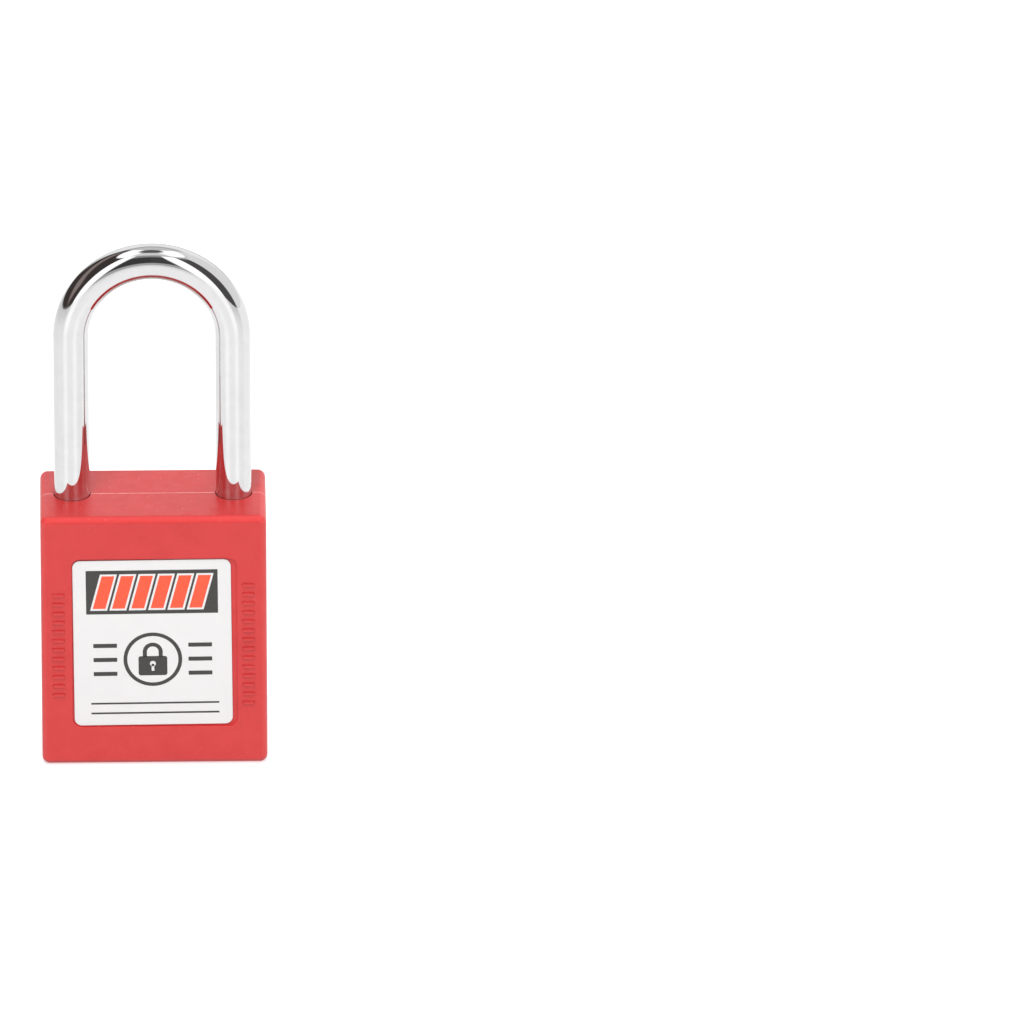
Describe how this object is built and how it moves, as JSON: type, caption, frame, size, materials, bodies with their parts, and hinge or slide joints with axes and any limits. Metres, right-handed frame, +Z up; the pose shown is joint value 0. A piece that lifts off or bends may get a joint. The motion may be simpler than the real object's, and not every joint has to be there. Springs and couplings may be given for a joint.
{
  "type": "safety padlock",
  "caption": "Lockout safety padlock: flat red nylon body with a white label in a shallow recess on each broad face, and a tall U-shaped steel shackle over a key cylinder.",
  "frame": {"origin": "centre of the body's underside, on the surface it stands on", "axes": "+Z up along the shackle's legs, -Y out of the labelled front face, +X towards the toe leg of the shackle"},
  "size_m": [0.038, 0.021, 0.0912],
  "materials": {
    "red_nylon": "moulded glass-filled nylon, satin, red all through",
    "white_vinyl": "laminated white label film",
    "chrome_steel": "hardened steel bar, bright chromium plate",
    "spring_steel": "drawn spring wire",
    "zinc_casting": "die-cast zinc, as cast",
    "plated_steel": "zinc-plated steel",
    "brass": "machined brass, lightly brushed"
  },
  "bodies": {
    "root": {"front_shell": "red_nylon", "rear_shell": "red_nylon", "front_label": "white_vinyl", "rear_label": "white_vinyl", "latch_block": "zinc_casting", "bolt_cover_plate": "plated_steel", "cover_screw_1": "plated_steel", "cover_screw_2": "plated_steel", "heel_retaining_pin": "plated_steel", "shackle_spring": "spring_steel", "cylinder_housing": "brass", "chamber_cover": "brass", "pin_spring_1": "spring_steel", "pin_spring_2": "spring_steel", "pin_spring_3": "spring_steel", "pin_spring_4": "spring_steel", "pin_spring_5": "spring_steel"},
    "shackle": {"shackle": "chrome_steel"},
    "locking_bolt": {"locking_bolt": "plated_steel"},
    "plug": {"plug": "brass", "plug_clip": "spring_steel", "locking_cam": "zinc_casting"},
    "key_pin_1": {"key_pin_1": "brass"},
    "driver_pin_1": {"driver_pin_1": "plated_steel"},
    "key_pin_2": {"key_pin_2": "brass"},
    "driver_pin_2": {"driver_pin_2": "plated_steel"},
    "key_pin_3": {"key_pin_3": "brass"},
    "driver_pin_3": {"driver_pin_3": "plated_steel"},
    "key_pin_4": {"key_pin_4": "brass"},
    "driver_pin_4": {"driver_pin_4": "plated_steel"},
    "key_pin_5": {"key_pin_5": "brass"},
    "driver_pin_5": {"driver_pin_5": "plated_steel"}
  },
  "joints": [
    {"name": "plug_turn", "type": "hinge", "parent": "root", "child": "plug", "pos_m": [0, 0, 0.0143], "axis": [0, 0, 1], "range_deg": [0, 90]},
    {"name": "locking_bolt_slide", "type": "slide", "parent": "root", "child": "locking_bolt", "axis": [-1, 0, 0], "range_m": [0, 0.00509]},
    {"name": "shackle_lift", "type": "slide", "parent": "root", "child": "shackle", "axis": [0, 0, 1], "range_m": [0, 0.01281], "deforming": ["shackle_spring"]},
    {"name": "key_pin_1_slide", "type": "slide", "parent": "plug", "child": "key_pin_1", "axis": [1, 0, 0], "range_m": [-0.0015, 0]},
    {"name": "driver_pin_1_slide", "type": "slide", "parent": "root", "child": "driver_pin_1", "axis": [1, 0, 0], "range_m": [-0.0015, 0], "deforming": ["pin_spring_1"]},
    {"name": "key_pin_2_slide", "type": "slide", "parent": "plug", "child": "key_pin_2", "axis": [1, 0, 0], "range_m": [-0.0021, 0]},
    {"name": "driver_pin_2_slide", "type": "slide", "parent": "root", "child": "driver_pin_2", "axis": [1, 0, 0], "range_m": [-0.0021, 0], "deforming": ["pin_spring_2"]},
    {"name": "key_pin_3_slide", "type": "slide", "parent": "plug", "child": "key_pin_3", "axis": [1, 0, 0], "range_m": [-0.0011, 0]},
    {"name": "driver_pin_3_slide", "type": "slide", "parent": "root", "child": "driver_pin_3", "axis": [1, 0, 0], "range_m": [-0.0011, 0], "deforming": ["pin_spring_3"]},
    {"name": "key_pin_4_slide", "type": "slide", "parent": "plug", "child": "key_pin_4", "axis": [1, 0, 0], "range_m": [-0.0018, 0]},
    {"name": "driver_pin_4_slide", "type": "slide", "parent": "root", "child": "driver_pin_4", "axis": [1, 0, 0], "range_m": [-0.0018, 0], "deforming": ["pin_spring_4"]},
    {"name": "key_pin_5_slide", "type": "slide", "parent": "plug", "child": "key_pin_5", "axis": [1, 0, 0], "range_m": [-0.0013, 0]},
    {"name": "driver_pin_5_slide", "type": "slide", "parent": "root", "child": "driver_pin_5", "axis": [1, 0, 0], "range_m": [-0.0013, 0], "deforming": ["pin_spring_5"]}
  ],
  "couplings": [
    {"joint": "plug_turn", "follows": "locking_bolt_slide", "rad_per_m": 308.53},
    {"joint": "shackle_lift", "follows": "locking_bolt_slide", "ratio": 2.5142},
    {"joint": "driver_pin_1_slide", "follows": "key_pin_1_slide", "ratio": 1},
    {"joint": "driver_pin_2_slide", "follows": "key_pin_2_slide", "ratio": 1},
    {"joint": "driver_pin_3_slide", "follows": "key_pin_3_slide", "ratio": 1},
    {"joint": "driver_pin_4_slide", "follows": "key_pin_4_slide", "ratio": 1},
    {"joint": "driver_pin_5_slide", "follows": "key_pin_5_slide", "ratio": 1}
  ]
}
